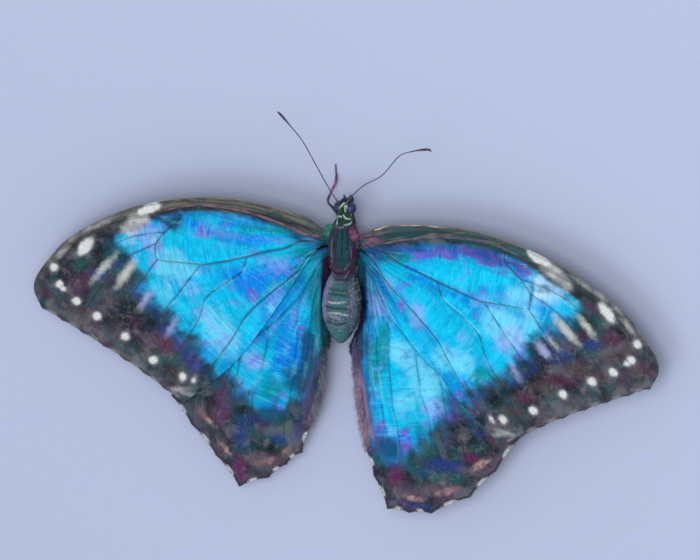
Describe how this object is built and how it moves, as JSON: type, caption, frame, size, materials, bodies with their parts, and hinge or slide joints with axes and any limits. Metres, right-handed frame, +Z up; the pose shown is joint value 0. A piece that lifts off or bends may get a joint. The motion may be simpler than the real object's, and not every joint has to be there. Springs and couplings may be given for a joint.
{
  "type": "blue morpho butterfly",
  "caption": "Life-size still model of a female blue morpho butterfly, basking with its iridescent blue, dark-bordered wings spread flat; for display.",
  "frame": {"origin": "on the ground, under the middle of the whole animal's box", "axes": "+Z up; the head points to -Y, so the animal's left wings are on +X; X is the wingspan"},
  "size_m": [0.1278, 0.0808, 0.0138],
  "materials": {
    "forewing": "iridescent blue scales with a dark, white-spotted border",
    "hindwing": "iridescent blue scales with a dark, scalloped border",
    "thorax_hair": "matt, hairy",
    "head_hair": "matt, hairy",
    "abdomen_scales": "matt scales with pale bands",
    "eye": "glossy, finely faceted",
    "antenna": "satin, ringed",
    "palp": "matt, hairy",
    "leg": "satin, finely scaled",
    "proboscis": "satin, ringed"
  },
  "bodies": {
    "root": {"head": "head_hair", "thorax": "thorax_hair", "abdomen": "abdomen_scales", "eye_left": "eye", "antenna_left": "antenna", "palp_left": "palp", "forewing_left": "forewing", "hindwing_left": "hindwing", "foreleg_left": "leg", "midleg_left": "leg", "hindleg_left": "leg", "eye_right": "eye", "antenna_right": "antenna", "palp_right": "palp", "forewing_right": "forewing", "hindwing_right": "hindwing", "foreleg_right": "leg", "midleg_right": "leg", "hindleg_right": "leg", "proboscis": "proboscis"}
  },
  "joints": []
}
